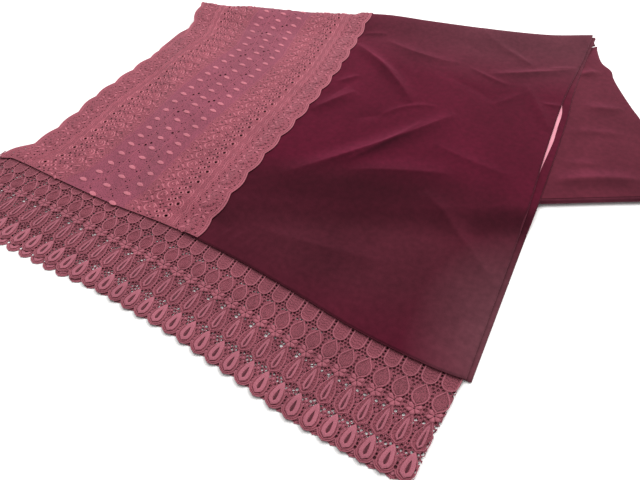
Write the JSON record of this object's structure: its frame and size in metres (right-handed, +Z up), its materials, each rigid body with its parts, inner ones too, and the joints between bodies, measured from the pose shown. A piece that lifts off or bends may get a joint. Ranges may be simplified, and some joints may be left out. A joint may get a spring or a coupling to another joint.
{
  "type": "evening stole",
  "caption": "Velvet evening stole with a wide scalloped lace band and teardrop lace ends, folded in half and folded under, lying flat.",
  "frame": {"origin": "on the surface it lies on, under the middle of the whole outline", "axes": "+X across the stole towards the side where the folded end comes out, +Y along it from the lace-trimmed ends to the far fold, +Z up from the surface"},
  "size_m": [0.8592, 0.838, 0.0234],
  "materials": {
    "velvet": "soft burgundy velvet with a short pile",
    "lace": "matt mauve-rose lace of cotton cord and fine thread",
    "satin": "smooth light pink satin with a soft gloss"
  },
  "bodies": {
    "root": {"folded_tail": "velvet", "velvet_under": "velvet", "lace_band_under": "lace", "end_lace_under": "lace", "lining_under": "satin", "velvet_top": "velvet", "lace_band_top": "lace", "end_lace_top": "lace"}
  },
  "joints": []
}
